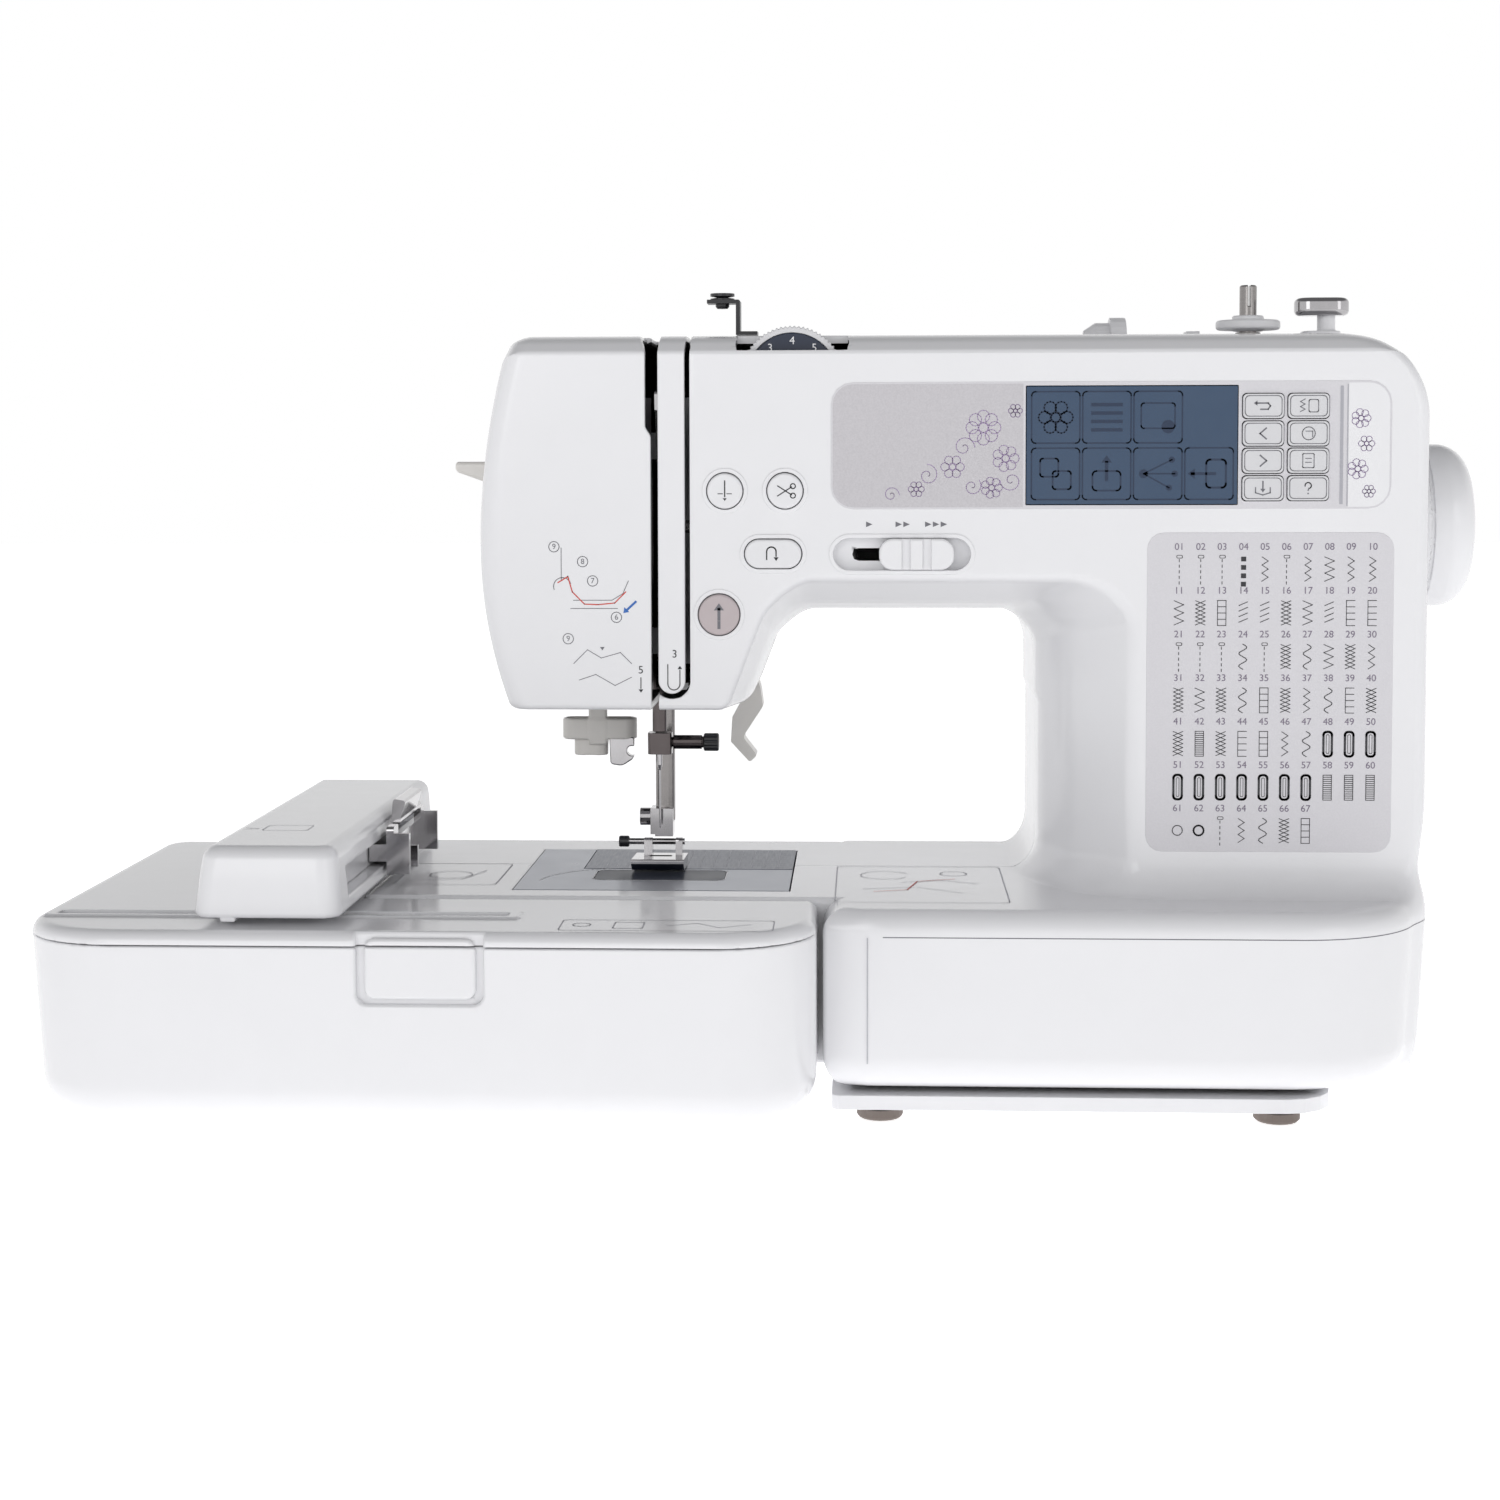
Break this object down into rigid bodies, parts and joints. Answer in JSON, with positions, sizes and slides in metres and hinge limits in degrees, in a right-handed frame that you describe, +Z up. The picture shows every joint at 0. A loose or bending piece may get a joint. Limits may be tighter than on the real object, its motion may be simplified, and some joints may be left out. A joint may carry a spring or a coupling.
{
  "type": "sewing and embroidery machine",
  "caption": "Free-arm computerised sewing machine with screen, front keys, handwheel and a detachable embroidery unit with its moving carriage.",
  "frame": {"origin": "on the table, at the centre of the bounding box seen from above", "axes": "+X to the right as the operator sees it, +Y away from the operator, +Z up"},
  "size_m": [0.5156, 0.2128, 0.298],
  "materials": {
    "white_cover": "glossy",
    "grey_button": "satin",
    "grey_plastic": "satin",
    "dial_plastic": "satin",
    "rubber_foot": "matte",
    "silver_panel": "satin metallic",
    "plate_cover_plastic": "glossy",
    "display": "glossy",
    "black_plastic": "satin",
    "polished_steel": "polished",
    "needle_plate_steel": "brushed",
    "cast_frame": "as cast",
    "smoked_clear": "clear",
    "lamp_lens": "frosted"
  },
  "bodies": {
    "machine_body": {"front_cover": "white_cover", "face_cover": "white_cover", "thread_slot_strip": "white_cover", "rear_cover": "white_cover", "bottom_tray": "white_cover", "rubber_foot_front_left": "rubber_foot", "rubber_foot_front_right": "rubber_foot", "rubber_foot_rear_left": "rubber_foot", "rubber_foot_rear_right": "rubber_foot", "control_panel": "silver_panel", "lcd_screen": "display", "stitch_chart_plate": "silver_panel", "thread_guide": "black_plastic", "spool_pin": "white_cover", "winder_stop": "grey_button", "main_frame": "cast_frame", "drive_motor": "cast_frame", "drive_belt": "black_plastic", "led_lamp": "lamp_lens", "needle_plate": "needle_plate_steel", "plate_cover": "plate_cover_plastic", "bobbin_cover": "smoked_clear", "bobbin_case": "black_plastic"},
    "drive_shaft": {"upper_shaft": "polished_steel", "handwheel": "white_cover"},
    "motor_rotor": {"motor_pulley": "polished_steel"},
    "needle_bar": {"needle_bar": "polished_steel", "needle_clamp": "polished_steel", "needle": "polished_steel"},
    "needle_clamp_screw": {"needle_clamp_screw": "polished_steel"},
    "take_up_lever": {"take_up_lever": "polished_steel"},
    "needle_threader": {"needle_threader": "grey_plastic"},
    "presser_bar": {"presser_bar": "polished_steel", "presser_ankle": "polished_steel"},
    "presser_foot": {"presser_foot": "polished_steel"},
    "presser_lifter": {"presser_lifter": "grey_plastic"},
    "bobbin": {"bobbin": "smoked_clear"},
    "feed_dog": {"feed_dog": "polished_steel"},
    "power_switch": {"power_switch": "black_plastic"},
    "speed_slider": {"speed_slider": "white_cover"},
    "tension_dial": {"tension_dial": "dial_plastic"},
    "winder_carrier": {"winder_carrier": "polished_steel"},
    "winder_spindle": {"winder_spindle": "polished_steel"},
    "embroidery_unit": {"unit_top_cover": "white_cover", "unit_lower_cover": "white_cover"},
    "carriage": {"carriage": "white_cover"},
    "frame_holder": {"frame_holder": "polished_steel"},
    "frame_lever": {"frame_lever": "polished_steel"},
    "back_key": {"back_key": "grey_button"},
    "left_arrow_key": {"left_arrow_key": "grey_button"},
    "right_arrow_key": {"right_arrow_key": "grey_button"},
    "enter_key": {"enter_key": "grey_button"},
    "stitch_select_key": {"stitch_select_key": "grey_button"},
    "machine_settings_key": {"machine_settings_key": "grey_button"},
    "stitch_guide_key": {"stitch_guide_key": "grey_button"},
    "help_key": {"help_key": "grey_button"},
    "needle_position_button": {"needle_position_button": "white_cover"},
    "thread_cutter_button": {"thread_cutter_button": "white_cover"},
    "reverse_button": {"reverse_button": "white_cover"},
    "start_stop_button": {"start_stop_button": "grey_button"}
  },
  "joints": [
    {"name": "handwheel_turn", "type": "hinge", "parent": "machine_body", "child": "drive_shaft", "pos_m": [0.24376, 0.03437, 0.2065], "axis": [1, 0, 0], "continuous": true},
    {"name": "motor_turn", "type": "hinge", "parent": "machine_body", "child": "motor_rotor", "pos_m": [0.20376, 0.01537, 0.13], "axis": [1, 0, 0], "continuous": true},
    {"name": "needle_bar_stroke", "type": "slide", "parent": "machine_body", "child": "needle_bar", "axis": [0, 0, 1], "range_m": [-0.0305, 0]},
    {"name": "clamp_screw_turn", "type": "hinge", "parent": "needle_bar", "child": "needle_clamp_screw", "pos_m": [-0.03624, 0.02937, 0.1238], "axis": [1, 0, 0], "range_deg": [-360, 0]},
    {"name": "take_up_swing", "type": "hinge", "parent": "machine_body", "child": "take_up_lever", "pos_m": [-0.04624, 0.01337, 0.222], "axis": [1, 0, 0], "range_deg": [0, 50]},
    {"name": "threader_pull", "type": "slide", "parent": "machine_body", "child": "needle_threader", "axis": [0, 0, 1], "range_m": [-0.033, 0], "stiffness_N_per_m": 40, "springref_m": 0.01},
    {"name": "presser_lift", "type": "hinge", "parent": "machine_body", "child": "presser_lifter", "pos_m": [-0.02124, 0.06537, 0.1585], "axis": [0, -1, 0], "range_deg": [0, 35]},
    {"name": "presser_bar_rise", "type": "slide", "parent": "machine_body", "child": "presser_bar", "axis": [0, 0, 1], "range_m": [0, 0.0061]},
    {"name": "presser_foot_pitch", "type": "hinge", "parent": "presser_bar", "child": "presser_foot", "pos_m": [-0.04624, 0.03597, 0.0844], "axis": [-1, 0, 0], "range_deg": [0, 8]},
    {"name": "bobbin_spin", "type": "hinge", "parent": "machine_body", "child": "bobbin", "pos_m": [-0.04624, 0.01077, 0.06], "axis": [0, 0, 1], "continuous": true},
    {"name": "feed_stroke", "type": "slide", "parent": "machine_body", "child": "feed_dog", "axis": [0, 1, 0], "range_m": [-0.0024, 0.0024]},
    {"name": "power_rock", "type": "hinge", "parent": "machine_body", "child": "power_switch", "pos_m": [0.23076, 0.07437, 0.122], "axis": [0, -1, 0], "range_deg": [0, 10]},
    {"name": "back_key_press", "type": "slide", "parent": "machine_body", "child": "back_key", "axis": [0, 1, 0], "range_m": [0, 0.0008], "stiffness_N_per_m": 800, "springref_m": -0.0006},
    {"name": "left_arrow_key_press", "type": "slide", "parent": "machine_body", "child": "left_arrow_key", "axis": [0, 1, 0], "range_m": [0, 0.0008], "stiffness_N_per_m": 800, "springref_m": -0.0006},
    {"name": "right_arrow_key_press", "type": "slide", "parent": "machine_body", "child": "right_arrow_key", "axis": [0, 1, 0], "range_m": [0, 0.0008], "stiffness_N_per_m": 800, "springref_m": -0.0006},
    {"name": "enter_key_press", "type": "slide", "parent": "machine_body", "child": "enter_key", "axis": [0, 1, 0], "range_m": [0, 0.0008], "stiffness_N_per_m": 800, "springref_m": -0.0006},
    {"name": "stitch_select_key_press", "type": "slide", "parent": "machine_body", "child": "stitch_select_key", "axis": [0, 1, 0], "range_m": [0, 0.0008], "stiffness_N_per_m": 800, "springref_m": -0.0006},
    {"name": "machine_settings_key_press", "type": "slide", "parent": "machine_body", "child": "machine_settings_key", "axis": [0, 1, 0], "range_m": [0, 0.0008], "stiffness_N_per_m": 800, "springref_m": -0.0006},
    {"name": "stitch_guide_key_press", "type": "slide", "parent": "machine_body", "child": "stitch_guide_key", "axis": [0, 1, 0], "range_m": [0, 0.0008], "stiffness_N_per_m": 800, "springref_m": -0.0006},
    {"name": "help_key_press", "type": "slide", "parent": "machine_body", "child": "help_key", "axis": [0, 1, 0], "range_m": [0, 0.0008], "stiffness_N_per_m": 800, "springref_m": -0.0006},
    {"name": "needle_position_button_press", "type": "slide", "parent": "machine_body", "child": "needle_position_button", "axis": [0, 1, 0], "range_m": [0, 0.001], "stiffness_N_per_m": 800, "springref_m": -0.0006},
    {"name": "thread_cutter_button_press", "type": "slide", "parent": "machine_body", "child": "thread_cutter_button", "axis": [0, 1, 0], "range_m": [0, 0.001], "stiffness_N_per_m": 800, "springref_m": -0.0006},
    {"name": "reverse_button_press", "type": "slide", "parent": "machine_body", "child": "reverse_button", "axis": [0, 1, 0], "range_m": [0, 0.001], "stiffness_N_per_m": 800, "springref_m": -0.0006},
    {"name": "start_stop_button_press", "type": "slide", "parent": "machine_body", "child": "start_stop_button", "axis": [0, 1, 0], "range_m": [0, 0.001], "stiffness_N_per_m": 800, "springref_m": -0.0006},
    {"name": "speed_slide", "type": "slide", "parent": "machine_body", "child": "speed_slider", "axis": [1, 0, 0], "range_m": [-0.0155, 0.0048]},
    {"name": "tension_turn", "type": "hinge", "parent": "machine_body", "child": "tension_dial", "pos_m": [0.00406, -0.01263, 0.261], "axis": [0, 1, 0], "range_deg": [-150, 120]},
    {"name": "winder_engage", "type": "slide", "parent": "machine_body", "child": "winder_carrier", "axis": [1, 0, 0], "range_m": [0, 0.005]},
    {"name": "winder_spin", "type": "hinge", "parent": "winder_carrier", "child": "winder_spindle", "pos_m": [0.17696, 0.04937, 0.27], "axis": [0, 0, 1], "continuous": true},
    {"name": "embroidery_unit_pull", "type": "slide", "parent": "machine_body", "child": "embroidery_unit", "axis": [-1, 0, 0], "range_m": [0, 0.18]},
    {"name": "carriage_travel", "type": "slide", "parent": "embroidery_unit", "child": "carriage", "axis": [1, 0, 0], "range_m": [-0.045, 0.05]},
    {"name": "frame_holder_travel", "type": "slide", "parent": "carriage", "child": "frame_holder", "axis": [0, 1, 0], "range_m": [-0.058, 0.012]},
    {"name": "frame_lever_swing", "type": "hinge", "parent": "frame_holder", "child": "frame_lever", "pos_m": [-0.14384, 0.01437, 0.0982], "axis": [0, 1, 0], "range_deg": [0, 80]}
  ],
  "couplings": [
    {"joint": "motor_turn", "follows": "handwheel_turn", "ratio": 4.1667},
    {"joint": "presser_lift", "follows": "presser_bar_rise", "rad_per_m": 100}
  ]
}
